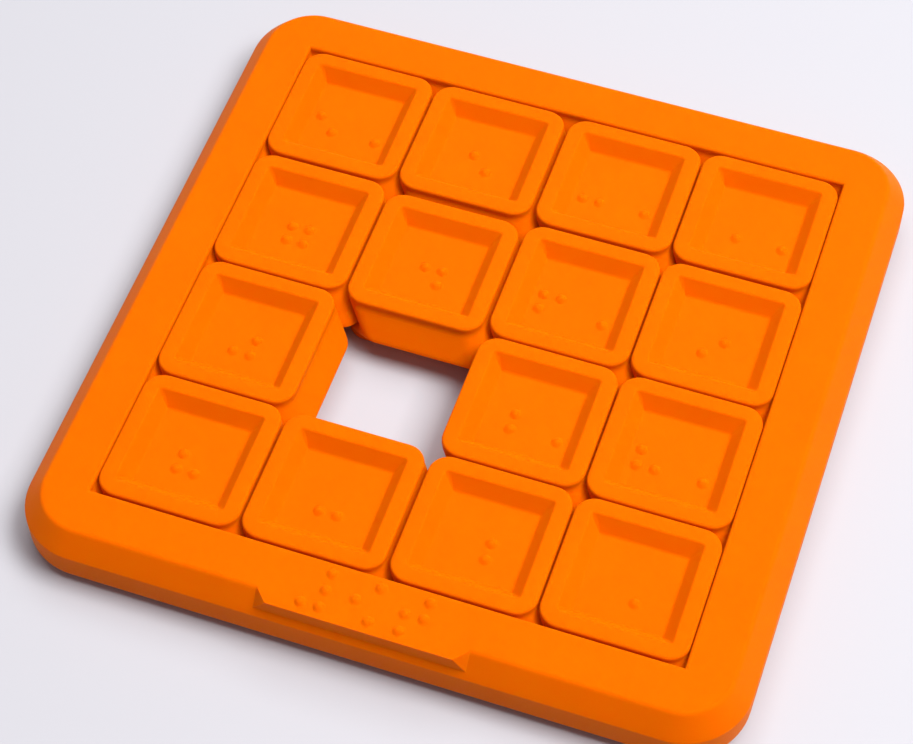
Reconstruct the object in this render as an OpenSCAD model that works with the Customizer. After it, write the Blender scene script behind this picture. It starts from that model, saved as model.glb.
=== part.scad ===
// Sliding fifteen puzzle with raised braille numerals.
// One square frame holds fifteen tiles and one empty cell. Every side of a tile is bent in a V:
// halfway up, the whole cross-section is shifted sideways, so each tile has a ridge on two sides
// and a matching groove on the other two. Ridges run in their neighbours' grooves, and the tiles
// slide but can't lift out.
// The origin is the middle of the underside, +Z is up, and +Y points to the rail with the label.

/* [Grid] */
// Distance from the middle of one cell to the middle of the next
pitch = 20; // [19.9:0.05:20]
// Width of a tile across its rim
tile_w = 19.75; // [19.4:0.05:19.8]
// Width of the frame's opening
pocket_w = 80.6; // [80.2:0.1:81]
// How far the loose tiles of each column lie from the middle of their cells
column_shift = [-0.3, -0.25, 0.15, 0.3]; // [-0.3:0.05:0.3]
// How far the loose tiles of each row lie from the middle of their cells
row_shift = [0.1, 0.1, 0.1, -0.15]; // [-0.3:0.05:0.3]
// How much further tile 8 has slid, into the empty cell
tile_8_start = 0.8; // [0:0.1:3]

/* [Thickness] */
// Height of the frame and of the tiles
height = 9; // [8:0.1:12]
// Height of the straight band at the top and the bottom of every inner side
band_h = 1.2; // [0.6:0.1:2]
// How far the cross-section shifts halfway up
ridge_out = 2.9; // [1:0.1:3.2]

/* [Frame] */
// Overall width of the frame
frame_w = 98.6; // [96:0.2:110]
// Radius of the frame's outer corners, at the widest level
frame_corner_r = 9.2; // [6:0.1:12]
// Sideways reach of the upper outer chamfer
chamfer_out = 2.6; // [1:0.1:3]
// Height of the upper outer chamfer
top_chamfer_h = 3.1; // [1:0.1:3.5]
// Sideways reach of the lower outer chamfer
bottom_chamfer_out = 1.2; // [0.5:0.1:3]
// Height of the lower outer chamfer
bottom_chamfer_h = 1.9; // [1:0.1:3]

/* [Tile] */
// Radius of a tile's upright corners
tile_corner_r = 2.8; // [1:0.1:4]
// Width of the finger tray at the rim
tray_w = 15.3; // [13.5:0.1:16]
// Width of the tray's flat floor
floor_w = 12.1; // [11.5:0.1:13]
// Depth of the tray
tray_depth = 2.1; // [1.6:0.1:2.6]

/* [Braille] */
// Diameter of a dot at its base
dot_d = 1.5; // [1.2:0.1:1.8]
// Height of a dot
dot_h = 0.5; // [0.3:0.1:0.7]
// Distance between the dots of one cell
dot_pitch = 2.5; // [2.2:0.1:2.6]
// Distance between neighbouring cells
cell_pitch = 6.6; // [6:0.1:6.8]

/* [Label] */
// Width of the label block where it meets the chamfer
label_w = 28.7; // [24:0.1:36]
// Width of the label block along its outer top edge
label_top_w = 25.1; // [22:0.1:28]
// How far the label block's front stays behind the frame's outer wall
label_setback = 0.7; // [0.2:0.1:1]
// Sideways shift of the label's dots
label_shift = 0.5; // [-1:0.1:1]

/* [Hidden] */

// Tiles as they lie, row by row from the labelled rail, and from -X to +X; 0 is the empty cell
layout = [
    [1, 2, 3, 4],
    [14, 12, 0, 6],
    [9, 10, 8, 7],
    [11, 13, 5, 15]
];
// Raised dots of the braille digits 0 to 9
digit_dots = [
    [2, 4, 5], [1], [1, 2], [1, 4], [1, 4, 5], [1, 5], [1, 2, 4], [1, 2, 4, 5], [1, 2, 5], [2, 4]
];
// Raised dots of the three label cells
label_dots = [[2, 3, 4, 5], [1, 3, 5], [1, 2, 3, 4]];

mid_h = height / 2;
eps = 0.01;
beyond = 1;
dome_r = (dot_d * dot_d / 4 + dot_h * dot_h) / (2 * dot_h);
dome_sink = dome_r - dot_h;
tray_slope = (tray_w - floor_w) / 2 / tray_depth;
label_front_y = frame_w / 2 - label_setback;
label_edge_y = frame_w / 2 - chamfer_out;
label_drop = (label_front_y - label_edge_y) * top_chamfer_h / chamfer_out;
label_flare = (label_w - label_top_w) / 2;
label_sink = 1;
label_row_y = (pocket_w / 2 + label_front_y) / 2;
plastic = "darkorange";

function tile_name(n) = str("tile_", n < 10 ? "0" : "", n);
function row_of(n) = [for (r = [0:3], c = [0:3]) if (layout[r][c] == n) r][0];
function column_of(n) = [for (r = [0:3], c = [0:3]) if (layout[r][c] == n) c][0];
function tile_place(n) = [
    (column_of(n) - 1.5) * pitch + column_shift[column_of(n)],
    (1.5 - row_of(n)) * pitch + row_shift[row_of(n)] + (n == 8 ? tile_8_start : 0),
    0
];
// Place of braille dot k in its cell: dots 1 to 3 go down the left column, 4 to 6 down the right
function dot_place(k) = [(k > 3 ? 0.5 : -0.5) * dot_pitch, (1 - (k - 1) % 3) * dot_pitch, 0];
// Half-width of the label block: its slanted ends widen inwards and downwards
function label_half(y, z) = label_top_w / 2
    + label_flare * ((label_front_y - y) / (label_front_y - label_edge_y) + (height - z) / label_drop);

// One raised dot, standing on z = 0
module dot() {
    translate([0, 0, -dome_sink]) sphere(r = dome_r, $fn = 32);
}

// A row of braille cells, centred on the origin
module braille(cells) {
    for (i = [0:len(cells) - 1])
        for (k = cells[i])
            translate([(i - (len(cells) - 1) / 2) * cell_pitch, 0, 0] + dot_place(k)) dot();
}

// A polygon in the XZ plane, drawn out along Y to the given length about the middle
module along_y(length, points) {
    translate([0, length / 2, 0]) rotate([90, 0, 0]) linear_extrude(length) polygon(points);
}

// Outer body of the frame: straight sides with chamfers above and below, and round corners
module frame_outside() {
    half = frame_w / 2;
    straight = frame_w - 2 * frame_corner_r;
    levels = [
        [0, bottom_chamfer_out], [bottom_chamfer_h, 0],
        [height - top_chamfer_h, 0], [height, chamfer_out]
    ];
    right_side = [for (p = levels) [half - p[1], p[0]]];
    left_side = [for (i = [3:-1:0]) [levels[i][1] - half, levels[i][0]]];
    corner = [for (p = levels) [frame_corner_r - p[1], p[0]]];
    for (turn = [0, 90])
        rotate([0, 0, turn]) along_y(straight, concat(right_side, left_side));
    for (x = [-1, 1], y = [-1, 1])
        translate([x * straight / 2, y * straight / 2, 0])
            rotate_extrude($fn = 96) polygon(concat([[0, 0]], corner, [[0, height]]));
}

// Outline of the opening in the XZ plane, with both walls shifted by the given amount halfway up
function chevron(shift) = let (h = pocket_w / 2) [
    [-h, -beyond], [h, -beyond], [h, band_h], [h + shift, mid_h], [h, height - band_h],
    [h, height + beyond], [-h, height + beyond], [-h, height - band_h], [shift - h, mid_h], [-h, band_h]
];

// The space inside the frame: its walls carry the same ridges and grooves as the tiles
module pocket() {
    intersection() {
        along_y(frame_w, chevron(-ridge_out));
        rotate([0, 0, 90]) along_y(frame_w, chevron(ridge_out));
    }
}

// Flat block that fills the chamfer of one rail, to carry the label
module label_block() {
    ys = [label_edge_y - label_sink, label_front_y];
    zs = [height - label_drop - label_sink, height];
    corners = [for (s = [-1, 1], y = ys, z = zs) [s * label_half(y, z), y, z]];
    polyhedron(corners, [[0, 2, 3, 1], [4, 5, 7, 6], [0, 1, 5, 4], [2, 6, 7, 3], [0, 4, 6, 2], [1, 3, 7, 5]]);
}

module frame() {
    color(plastic) {
        difference() {
            union() {
                frame_outside();
                label_block();
            }
            pocket();
        }
        translate([label_shift, label_row_y, height]) braille(label_dots);
    }
}

// A thin slice of the tile's rounded square
module tile_slice(thickness) {
    inner = tile_w - 2 * tile_corner_r;
    linear_extrude(thickness) union() {
        square([tile_w, inner], center = true);
        square([inner, tile_w], center = true);
        for (x = [-1, 1], y = [-1, 1])
            translate([x * inner / 2, y * inner / 2]) circle(r = tile_corner_r, $fn = 32);
    }
}

// Tile body: two straight bands and, between them, two leaning halves that meet at the ridge
module tile_body() {
    tile_slice(band_h);
    translate([0, 0, height - band_h]) tile_slice(band_h);
    for (z = [band_h, height - band_h - eps])
        hull() {
            translate([0, 0, z]) tile_slice(eps);
            translate([-ridge_out, ridge_out, mid_h - eps / 2]) tile_slice(eps);
        }
}

// Outline of the tray in the XZ plane, drawn up past the rim along the same slope
function tray_outline() = let (top = tray_w / 2 + beyond * tray_slope, foot = floor_w / 2) [
    [-foot, height - tray_depth], [foot, height - tray_depth], [top, height + beyond], [-top, height + beyond]
];

// Square finger tray with sloping walls
module tray() {
    intersection() {
        along_y(tile_w, tray_outline());
        rotate([0, 0, 90]) along_y(tile_w, tray_outline());
    }
}

// A tile with its number in the tray: one braille cell, or two side by side
module tile(n) {
    cells = n < 10 ? [digit_dots[n]] : [digit_dots[floor(n / 10)], digit_dots[n % 10]];
    color(plastic) translate(tile_place(n)) {
        difference() {
            tile_body();
            tray();
        }
        translate([0, 0, height - tray_depth]) braille(cells);
    }
}

frame();
for (n = [1:15])
    tile(n);
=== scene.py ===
"""A sliding fifteen puzzle in printed plastic: one square frame and fifteen captive tiles with
raised braille numerals. Sizes are in millimetres until the last step, which turns them to metres."""
import math

import bmesh
import bpy
import numpy as np
from mathutils import Euler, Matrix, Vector


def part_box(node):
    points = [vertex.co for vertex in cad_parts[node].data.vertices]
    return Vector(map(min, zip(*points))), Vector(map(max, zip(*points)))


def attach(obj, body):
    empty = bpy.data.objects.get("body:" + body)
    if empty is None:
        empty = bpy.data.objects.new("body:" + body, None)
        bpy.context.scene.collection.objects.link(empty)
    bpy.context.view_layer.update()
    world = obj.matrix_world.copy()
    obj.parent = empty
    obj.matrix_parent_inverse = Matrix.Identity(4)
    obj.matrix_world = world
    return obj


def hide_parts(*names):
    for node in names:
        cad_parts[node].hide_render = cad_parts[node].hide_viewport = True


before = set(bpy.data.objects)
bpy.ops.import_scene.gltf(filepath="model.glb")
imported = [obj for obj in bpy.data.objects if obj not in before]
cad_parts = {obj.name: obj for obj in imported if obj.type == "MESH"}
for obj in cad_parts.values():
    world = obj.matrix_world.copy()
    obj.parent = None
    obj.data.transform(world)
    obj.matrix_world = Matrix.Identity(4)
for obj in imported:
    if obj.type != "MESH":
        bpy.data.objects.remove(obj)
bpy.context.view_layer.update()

# ---------------------------------------------------------------- sizes, in millimetres
MM = 0.001
BAND = 1.2                # straight band at the top and the bottom of every inner side
RIDGE = 2.9               # how far the cross-section shifts halfway up
CHAMFER = 2.6             # sideways reach of the frame's upper outer chamfer
TOP_CHAMFER = 3.1         # height of the upper chamfer
FOOT_CHAMFER = 1.2        # sideways reach of the lower chamfer
BOTTOM_CHAMFER = 1.9      # height of the lower chamfer
FRAME_CORNER = 9.2        # radius of the frame's outer corners
POCKET = 80.6             # width of the frame's opening
TILE_CORNER = 2.8         # radius of a tile's upright corners
TRAY = 15.3               # width of the finger tray at the rim
TRAY_FLOOR = 12.1         # width of the tray's flat floor
TRAY_DEPTH = 2.1
LABEL_FOOT = 28.7         # width of the label block where it meets the chamfer
LABEL_TOP = 25.1          # width of the label block along its outer top edge
LABEL_SETBACK = 0.7       # how far the block's front stays behind the outer wall
LABEL_SHIFT = 0.5         # sideways shift of the label's dots
DOT = 1.5                 # diameter of a braille dot
DOT_HEIGHT = 0.5
DOT_PITCH = 2.5           # distance between the dots of a cell
CELL_PITCH = 6.6          # distance between neighbouring cells

# How the printer leaves the edges: a bead of plastic rounds each of them off
RIM_ROUND = 0.4           # outer edge of a rim, and of the frame's opening
TRAY_ROUND = 0.4          # inner edge of a rim, over the tray
FLOOR_ROUND = 0.6         # foot of the tray's wall
FOOT_ROUND = 0.2          # every edge of the underside
CHAMFER_ROUND = 0.5       # top of the lower chamfer
CREASE_ROUND = 0.1        # foot of the upper chamfer
KINK_ROUND = 0.35         # height over which each kink of a bent side is spread

# How finely the surfaces are divided
GRID = 0.2                # spacing of the points that carry braille dots
LEVEL = 0.3               # spacing of the levels on the bent sides
EDGE_STEPS = 4            # steps round each softened edge
TILE_CORNER_STEPS = 8     # steps round each upright corner
FRAME_CORNER_STEPS = 16
SIDE_STEPS = 28           # steps along a side of the frame that carries no label
END_STEPS = 5             # steps across each slanted end of the label
BEYOND_STEPS = 15         # steps from the label's foot to the frame's corner
DROP_STEPS = 4            # steps down the label's front
SAME = 1e-6               # two sizes closer than this are the same
MERGE = 0.002             # points closer than this become one

# The raised dots of each braille digit from 0 to 9, and of the label's three cells
DIGIT_DOTS = [
    (2, 4, 5), (1,), (1, 2), (1, 4), (1, 4, 5), (1, 5), (1, 2, 4), (1, 2, 4, 5), (1, 2, 5), (2, 4)
]
LABEL_DOTS = [(2, 3, 4, 5), (1, 3, 5), (1, 2, 3, 4)]

# The plastic's pattern. Its real layers are about 0.2 mm high and its real grain is finer than
# 0.1 mm: both are drawn coarser, so that they show
STROKE_WIDTH = 0.45
LAYER_HEIGHT = 0.25
GRAINS_PER_MM = 3.0
PATCHES_PER_MM = 0.12

# Colours
ORANGE = "#E16600"        # the plastic
DEEP_ORANGE = "#D96000"   # where its pigment is thicker
WARM_SHEEN = "#FF9A30"    # its faint reflection
PALE_GREY = "#B9B8BD"     # the tabletop, which strong light makes white
COOL_WHITE = "#F6F4FF"    # the sky


# ---------------------------------------------------------------- outlines and surfaces
def rounded(points):
    """Outline through (x, z, radius) points. Each corner is replaced by the arc of its radius
    that touches both sides: the arc's middle lies on the bisector, radius / sin(half the corner's
    angle) from the corner, and its points turn evenly from one side to the other."""
    p = np.array([q[:2] for q in points], float)
    line = [p[0]]
    for before, corner, after, (_, _, radius) in zip(p, p[1:], p[2:], points[1:]):
        u = (before - corner) / np.linalg.norm(before - corner)
        v = (after - corner) / np.linalg.norm(after - corner)
        half = math.acos(np.clip(u @ v, -1, 1)) / 2
        middle = corner + (u + v) / np.linalg.norm(u + v) * radius / math.sin(half)
        first = corner + u * radius / math.tan(half) - middle
        last = corner + v * radius / math.tan(half) - middle
        turn = math.pi - 2 * half
        t = np.linspace(0, turn, EDGE_STEPS + 1)[:, None]
        line.extend(middle + (np.sin(turn - t) * first + np.sin(t) * last) / math.sin(turn))
    line.append(p[-1])
    return np.array(line)


def between(a, b, spacing):
    """Points from a to b, both left out, no further apart than spacing."""
    return np.linspace(a, b, max(2, math.ceil(abs(b - a) / spacing) + 1))[1:-1]


def square_rings(half, radius, side, arc_steps):
    """Rounded squares, one for each half-width and corner radius: a quarter arc about each
    corner's middle, then the straight stretch to the next corner, which side divides in the same
    proportions on every ring. Returns x and y, ring by ring, anticlockwise from +X, -Y."""
    half, radius = np.broadcast_arrays(np.asarray(half, float), np.asarray(radius, float))
    straight = (half - radius)[:, None]
    turn = np.linspace(0, math.pi / 2, arc_steps + 1)[None]
    xs, ys = [], []
    for quarter in range(4):
        c, s = round(math.cos(quarter * math.pi / 2)), round(math.sin(quarter * math.pi / 2))
        arc_x = straight + radius[:, None] * np.cos(turn)
        arc_y = straight + radius[:, None] * np.sin(turn)
        along_x = straight * (1 - 2 * side[quarter][None])
        along_y = half[:, None] + 0 * along_x
        x = np.concatenate([arc_x, along_x], axis=1)
        y = np.concatenate([arc_y, along_y], axis=1)
        xs.append(c * x - s * y)
        ys.append(s * x + c * y)
    return np.concatenate(xs, axis=1), np.concatenate(ys, axis=1)


def bend(z, height):
    """Sideways shift of a side at height z: nothing on the two straight bands, and between them
    two straight slopes up to the ridge, averaged over a short stretch so that the kinks are soft."""
    nearby = np.linspace(-KINK_ROUND / 2, KINK_ROUND / 2, 5)
    knots = [0, BAND, height / 2, height - BAND, height]
    shifts = [0, 0, RIDGE, 0, 0]
    return np.mean([np.interp(z + away, knots, shifts) for away in nearby], axis=0)


def domes(x, y, spots):
    """Height of braille dots over the plane: a ball of the dot's radius of curvature, sunk until
    its cap is as wide and as high as a dot, joined to the plane by the smooth maximum of the cap
    and nothing, (cap + square root of (cap squared + soft squared)) / 2. What is left of that far
    from a dot is cut off, so that the plane stays flat."""
    curve = (DOT * DOT / 4 + DOT_HEIGHT * DOT_HEIGHT) / (2 * DOT_HEIGHT)
    soft = 0.05
    height = np.zeros_like(x)
    for px, py in spots:
        away = (x - px) ** 2 + (y - py) ** 2
        cap = np.sqrt(np.maximum(curve * curve - away, 0)) - (curve - DOT_HEIGHT)
        height = np.maximum(height, (cap + np.sqrt(cap * cap + soft * soft)) / 2)
    return np.where(height > soft / 8, height, 0)


def dot_spots(cells, x, y):
    """Middles of the dots of a row of cells about (x, y): dots 1 to 3 go down a cell's left
    column and dots 4 to 6 down its right one."""
    spots = []
    for i, cell in enumerate(cells):
        cx = x + (i - (len(cells) - 1) / 2) * CELL_PITCH
        for k in cell:
            dx, dy = 0.5 if k > 3 else -0.5, 1 - (k - 1) % 3
            spots.append((cx + dx * DOT_PITCH, y + dy * DOT_PITCH))
    return spots


# ---------------------------------------------------------------- meshes
def ring_faces(rings, around, closed):
    """Four-sided faces between neighbouring rings, and across the seam where the loop closes."""
    i = np.arange(rings if closed else rings - 1)[:, None]
    j = np.arange(around)[None]
    k, n = (i + 1) % rings, (j + 1) % around
    corners = (i * around + j, i * around + n, k * around + n, k * around + j)
    return np.stack(np.broadcast_arrays(*corners), axis=-1).reshape(-1, 4)


def grid_faces(rows, columns, first):
    """Four-sided faces of an open grid whose vertices start at number first."""
    i = np.arange(rows - 1)[:, None]
    j = np.arange(columns - 1)[None]
    a = first + i * columns + j
    return np.stack([a, a + 1, a + columns + 1, a + columns], axis=-1).reshape(-1, 4)


def make_piece(name, points, faces, material, stands_for):
    """Turns points in millimetres and faces into one closed piece that stands for a CAD node."""
    mesh = bpy.data.meshes.new(name)
    mesh.from_pydata((points * MM).tolist(), [], faces.tolist())
    work = bmesh.new()
    work.from_mesh(mesh)
    bmesh.ops.remove_doubles(work, verts=work.verts, dist=MERGE * MM)
    bmesh.ops.recalc_face_normals(work, faces=work.faces)
    work.to_mesh(mesh)
    work.free()
    mesh.shade_smooth()
    mesh.set_sharp_from_angle(angle=math.radians(38))
    mesh.materials.append(material)
    piece = bpy.data.objects.new(name, mesh)
    bpy.context.scene.collection.objects.link(piece)
    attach(piece, stands_for)
    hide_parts(stands_for)
    return piece


def make_tile(number, material):
    """A tile: rounded squares stacked along one outline, from the middle of the underside, up the
    bent side, over the rim and down the tray's wall, closed by a square grid that is the tray's
    floor. Each ring slides sideways by the bend at its height."""
    node = f"tile_{number:02d}"
    low, high = (np.array(corner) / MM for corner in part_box(node))
    height = high[2]
    tile_half = (high[0] - low[0] - RIDGE) / 2
    cx, cy = high[0] - tile_half, low[1] + tile_half
    floor = height - TRAY_DEPTH

    foot = rounded([(0, 0, 0), (tile_half, 0, FOOT_ROUND), (tile_half, height / 2, 0)])[:-1]
    levels = between(FOOT_ROUND, height - RIM_ROUND, LEVEL)
    side = np.column_stack([np.full(len(levels), tile_half), levels])
    top = rounded([
        (tile_half, height / 2, 0), (tile_half, height, RIM_ROUND), (TRAY / 2, height, TRAY_ROUND),
        (TRAY_FLOOR / 2, floor, FLOOR_ROUND), (TRAY_FLOOR / 2 - 1, floor, 0)
    ])[1:-1]
    outline = np.concatenate([foot, side, top])
    half, z = outline[:, 0], outline[:, 1]
    corner = np.maximum(TILE_CORNER - (tile_half - half), 0)
    corner[-1] = 0

    steps = math.ceil(2 * half[-1] / GRID)
    straight = [np.arange(1, steps) / steps] * 4
    x, y = square_rings(half, corner, straight, TILE_CORNER_STEPS)
    slide = np.concatenate([0 * foot[:, 0], bend(levels, height), 0 * top[:, 0]])[:, None]
    wall = np.stack([x - slide, y + slide, z[:, None] + 0 * x], axis=-1)

    line = np.linspace(-half[-1], half[-1], steps + 1)
    fx, fy = np.meshgrid(line, line)
    digits = [DIGIT_DOTS[int(d)] for d in str(number)]
    fz = floor + domes(fx, fy, dot_spots(digits, 0, 0))
    base = np.stack([fx, fy, fz], axis=-1)

    points = np.concatenate([wall.reshape(-1, 3), base.reshape(-1, 3)]) + [cx, cy, 0]
    rings, around = x.shape
    faces = np.concatenate([
        ring_faces(rings, around, False), grid_faces(steps + 1, steps + 1, rings * around)
    ])
    return make_piece(f"printed_{node}", points, faces, material, node)


def make_frame(material):
    """The frame: rounded squares along a closed outline, out over the top, down the chamfered
    outside, in under the bottom and up the bent inner wall. On the +Y side the columns in front of
    the label follow a second outline, which runs on level and then drops as the label's front.
    Across the label's slanted ends each column is a straight blend of the two outlines."""
    out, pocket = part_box("frame")[1].x / MM, POCKET / 2
    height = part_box("tile_01")[1].z / MM
    edge, front = out - CHAMFER, out - LABEL_SETBACK
    slope = TOP_CHAMFER / CHAMFER
    front_foot = height - (front - edge) * slope

    level = between(pocket + RIM_ROUND, edge, GRID)
    ramp = between(edge, front, GRID)
    rail = np.column_stack([level, np.full(len(level), height)])
    plain = np.column_stack([ramp, height - (ramp - edge) * slope])
    block = np.column_stack([ramp, np.full(len(ramp), height)])
    drop = np.linspace(0, 1, DROP_STEPS + 1)[:, None]
    plain_front = np.array([[front, front_foot]]) + 0 * drop
    block_front = np.array([[front, height]]) * (1 - drop) + np.array([[front, front_foot]]) * drop
    rim = rounded([(pocket, height / 2, 0), (pocket, height, RIM_ROUND), (edge, height, 0)])[1:-1]
    rest = rounded([
        (front, front_foot, 0), (out, height - TOP_CHAMFER, CREASE_ROUND),
        (out, BOTTOM_CHAMFER, CHAMFER_ROUND), (out - FOOT_CHAMFER, 0, FOOT_ROUND),
        (pocket, 0, FOOT_ROUND), (pocket, height / 2, 0)
    ])[1:-1]
    inner = between(FOOT_ROUND, height - RIM_ROUND, LEVEL)
    wall = np.column_stack([np.full(len(inner), pocket), inner])
    outline = np.concatenate([rim, rail, plain, plain_front, rest, wall])
    label = np.concatenate([rim, rail, block, block_front, rest, wall])

    half, z = outline[:, 0], outline[:, 1]
    corner = np.interp(half, [pocket, edge, out], [0, FRAME_CORNER - CHAMFER, FRAME_CORNER])
    reach = out - FRAME_CORNER
    core = np.linspace(-1, 1, math.ceil(LABEL_FOOT / GRID) + 1)
    ends = np.linspace(0, 1, END_STEPS + 1)[1:]
    beyond = np.linspace(LABEL_FOOT / 2, reach, BEYOND_STEPS + 1)[1:-1]
    columns = 2 * (len(ends) + len(beyond)) + len(core)
    even = np.linspace(0, 1, SIDE_STEPS + 1)[1:-1]
    straight = [np.linspace(0, 1, columns + 2)[1:-1], even, even, even]
    x, y = square_rings(half, corner, straight, FRAME_CORNER_STEPS)
    zz = z[:, None] + 0 * x

    # The +Y side's columns. The label's outer top edge is narrower than its foot, and share says how
    # much of the label's outline a column follows
    foot = LABEL_FOOT / 2
    top_half = np.interp(half, [edge, front], [foot, LABEL_TOP / 2])[:, None]
    right = foot + (beyond - foot) * ((half - corner)[:, None] - foot) / (reach - foot)
    end_part = top_half + ends * (foot - top_half)
    across = np.concatenate([
        right[:, ::-1], end_part[:, ::-1], top_half * core[::-1], -end_part, -right
    ], axis=1)
    share = np.concatenate([0 * beyond, 1 - ends[::-1], 1 + 0 * core, 1 - ends, 0 * beyond])
    first = FRAME_CORNER_STEPS + 1
    y_side = slice(first, first + columns)
    x[:, y_side] = across
    y[:, y_side] = half[:, None] + (label[:, 0] - half)[:, None] * share
    zz[:, y_side] = z[:, None] + (label[:, 1] - z)[:, None] * share

    on_top = np.abs(zz - height) < SAME
    row_y = (pocket + front) / 2
    zz += np.where(on_top, domes(x, y, dot_spots(LABEL_DOTS, LABEL_SHIFT, row_y)), 0)

    inside = np.abs(half - pocket) < SAME
    slide = np.where(inside, bend(z, height), 0)[:, None]
    points = np.stack([x - slide, y + slide, zz], axis=-1).reshape(-1, 3)
    faces = ring_faces(*x.shape, True)
    return make_piece("printed_frame", points, faces, material, "frame")


# ---------------------------------------------------------------- materials
def colour(code):
    """An sRGB hex code as linear red, green, blue and full alpha."""
    channels = [int(code[i:i + 2], 16) / 255 for i in (1, 3, 5)]
    return [c / 12.92 if c <= 0.04045 else ((c + 0.055) / 1.055) ** 2.4 for c in channels] + [1.0]


def add(tree, kind, links=None, values=None, **settings):
    """Adds one shader node with its settings, its input values and its input links."""
    made = tree.nodes.new(kind)
    for key, value in settings.items():
        setattr(made, key, value)
    for key, value in (values or {}).items():
        made.inputs[key].default_value = value
    for key, source in (links or {}).items():
        tree.links.new(source, made.inputs[key])
    return made


def new_material(name):
    """A material with an empty node tree, and the tree."""
    material = bpy.data.materials.new(name)
    material.use_nodes = True
    tree = material.node_tree
    tree.nodes.clear()
    return material, tree


def printed_plastic(name):
    """Matte PLA, melted and laid down by a printer in strokes and layers. It has no clear
    highlight. Flat faces are faintly ribbed at 45 degrees by the strokes of the last layer, and
    sides by the layers. Light goes a little way in, red furthest, so thin edges and narrow gaps
    glow. The pigment is slightly uneven."""
    material, tree = new_material(name)
    place = add(tree, "ShaderNodeTexCoord")
    in_mm = add(tree, "ShaderNodeVectorMath", {0: place.outputs["Object"]}, {1: (1 / MM,) * 3},
                operation="MULTIPLY")
    axes = add(tree, "ShaderNodeSeparateXYZ", {0: in_mm.outputs[0]})

    # How level a face is, from 0 on the sides to 1 on the tops
    facing = add(tree, "ShaderNodeSeparateXYZ", {0: place.outputs["Normal"]})
    upright = add(tree, "ShaderNodeMath", {0: facing.outputs["Z"]}, operation="ABSOLUTE")
    flat = add(tree, "ShaderNodeMapRange", {0: upright.outputs[0]}, {1: 0.93, 2: 0.99})

    # Ribs: a sine wave across the strokes, where X + Y grows, or up through the layers
    diagonal = add(tree, "ShaderNodeMath", {0: axes.outputs["X"], 1: axes.outputs["Y"]}, operation="ADD")
    stroke = add(tree, "ShaderNodeMath", {0: diagonal.outputs[0]},
                 {1: 2 * math.pi / (STROKE_WIDTH * math.sqrt(2))}, operation="MULTIPLY")
    stroke_wave = add(tree, "ShaderNodeMath", {0: stroke.outputs[0]}, operation="SINE")
    layer = add(tree, "ShaderNodeMath", {0: axes.outputs["Z"]}, {1: 2 * math.pi / LAYER_HEIGHT},
                operation="MULTIPLY")
    layer_wave = add(tree, "ShaderNodeMath", {0: layer.outputs[0]}, operation="SINE")
    ribs = add(tree, "ShaderNodeMix", {
        "Factor": flat.outputs[0], "A": layer_wave.outputs[0], "B": stroke_wave.outputs[0]})
    rib_bump = add(tree, "ShaderNodeBump", {"Height": ribs.outputs[0]},
                   {"Strength": 0.15, "Distance": 0.02 * MM})

    # Grain of the matte surface, in its relief and in its roughness
    grain = add(tree, "ShaderNodeTexNoise", {"Vector": in_mm.outputs[0]},
                {"Scale": GRAINS_PER_MM, "Detail": 3.0, "Roughness": 0.6})
    rough = add(tree, "ShaderNodeMapRange", {0: grain.outputs[0]}, {1: 0.3, 2: 0.7, 3: 0.5, 4: 0.62})
    grain_bump = add(tree, "ShaderNodeBump", {"Height": grain.outputs[0], "Normal": rib_bump.outputs[0]},
                     {"Strength": 0.15, "Distance": 0.05 * MM})

    # Uneven pigment
    patches = add(tree, "ShaderNodeTexNoise", {"Vector": in_mm.outputs[0]},
                  {"Scale": PATCHES_PER_MM, "Detail": 2.0})
    pigment = add(tree, "ShaderNodeMix", {"Factor": patches.outputs[0]},
                  {"A": colour(ORANGE), "B": colour(DEEP_ORANGE)}, data_type="RGBA")

    shader = add(tree, "ShaderNodeBsdfPrincipled", {
        "Base Color": pigment.outputs["Result"], "Roughness": rough.outputs[0],
        "Normal": grain_bump.outputs[0]
    }, {
        "IOR": 1.46, "Specular IOR Level": 0.08, "Specular Tint": colour(WARM_SHEEN),
        "Subsurface Weight": 0.7, "Subsurface Radius": (1.0, 0.35, 0.1), "Subsurface Scale": 0.8 * MM
    })
    add(tree, "ShaderNodeOutputMaterial", {"Surface": shader.outputs[0]})
    return material


def tabletop():
    """Matt laminate, printed paper under clear resin: an even pale face with no clear reflection."""
    material, tree = new_material("white_laminate")
    shader = add(tree, "ShaderNodeBsdfPrincipled", None, {
        "Base Color": colour(PALE_GREY), "Roughness": 0.6, "Specular IOR Level": 0.2})
    add(tree, "ShaderNodeOutputMaterial", {"Surface": shader.outputs[0]})
    return material


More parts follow.
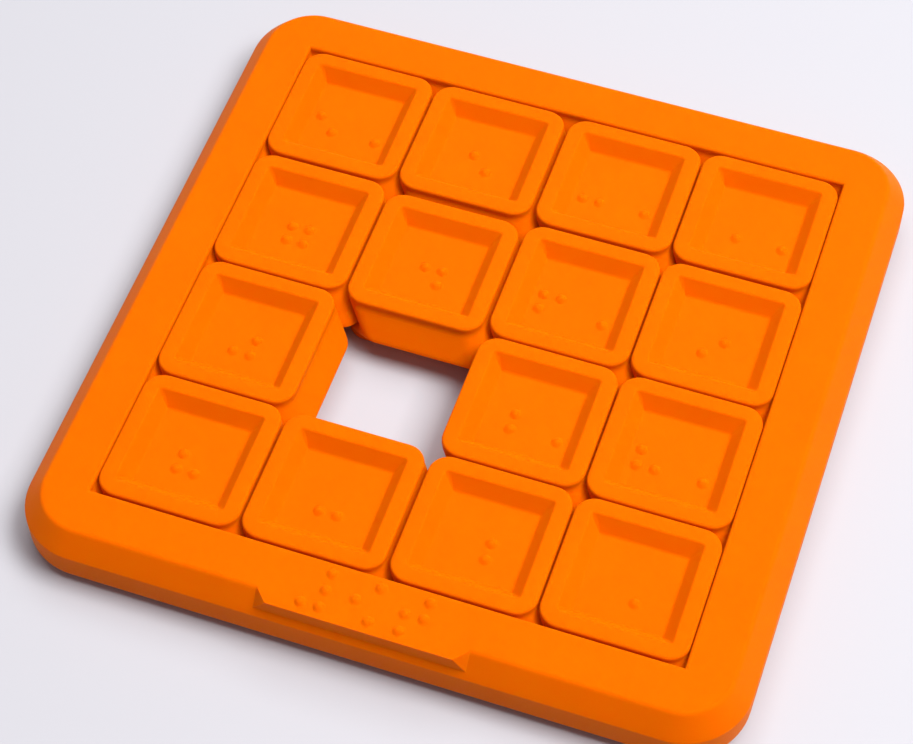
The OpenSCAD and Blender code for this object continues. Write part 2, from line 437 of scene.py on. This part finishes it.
# ---------------------------------------------------------------- studio
def aim(obj, target, distance, azimuth, elevation, roll=0.0):
    """Puts obj at a distance from the target, at an azimuth from +X and an elevation above the
    floor, looking back at the target and turned about its own line of sight by the roll."""
    a, e = math.radians(azimuth), math.radians(elevation)
    away = Vector((math.cos(e) * math.cos(a), math.cos(e) * math.sin(a), math.sin(e)))
    obj.location = Vector(target) + away * distance
    turn = away.to_track_quat("Z", "Y").to_matrix() @ Euler((0, 0, math.radians(roll))).to_matrix()
    obj.rotation_euler = turn.to_euler()


def make_camera():
    """A long lens, from over the labelled rail's -X end."""
    camera = bpy.data.objects.new("camera", bpy.data.cameras.new("camera"))
    camera.data.lens = 97.7
    camera.data.sensor_width = 36.0
    camera.data.clip_start = 0.01
    bpy.context.scene.collection.objects.link(camera)
    aim(camera, (0.00104, 0.00751, 0.009), distance=0.3328, azimuth=110.0, elevation=55.87, roll=-1.13)
    bpy.context.scene.camera = camera


def soft_light(name, size, power, distance, azimuth, elevation):
    """A square white soft box that faces the puzzle."""
    lamp = bpy.data.lights.new(name, "AREA")
    lamp.shape = "SQUARE"
    lamp.size = size
    lamp.energy = power
    obj = bpy.data.objects.new(name, lamp)
    bpy.context.scene.collection.objects.link(obj)
    aim(obj, (0, 0, 0), distance, azimuth, elevation)


def make_studio():
    """Pale floor, a faint even sky, a soft box on the puzzle's -X side and a panel almost straight
    above it, leaning to -Y."""
    half = 1.5
    corners = [(-half, -half, 0), (half, -half, 0), (half, half, 0), (-half, half, 0)]
    mesh = bpy.data.meshes.new("floor")
    mesh.from_pydata(corners, [], [(0, 1, 2, 3)])
    mesh.materials.append(tabletop())
    floor = bpy.data.objects.new("floor", mesh)
    bpy.context.scene.collection.objects.link(floor)
    world = bpy.data.worlds.new("studio")
    world.use_nodes = True
    sky = world.node_tree.nodes["Background"]
    sky.inputs["Color"].default_value = colour(COOL_WHITE)
    sky.inputs["Strength"].default_value = 0.25
    bpy.context.scene.world = world
    soft_light("soft_box", size=0.4, power=6.9, distance=0.8, azimuth=184, elevation=60)
    soft_light("ceiling_panel", size=0.8, power=5.6, distance=0.8, azimuth=264, elevation=72)
    bpy.context.scene.view_settings.view_transform = "Standard"


make_camera()
make_studio()
tile_plastic = printed_plastic("printed_PLA_tiles")
frame_plastic = printed_plastic("printed_PLA_frame")
make_frame(frame_plastic)
for number in range(1, 16):
    make_tile(number, tile_plastic)
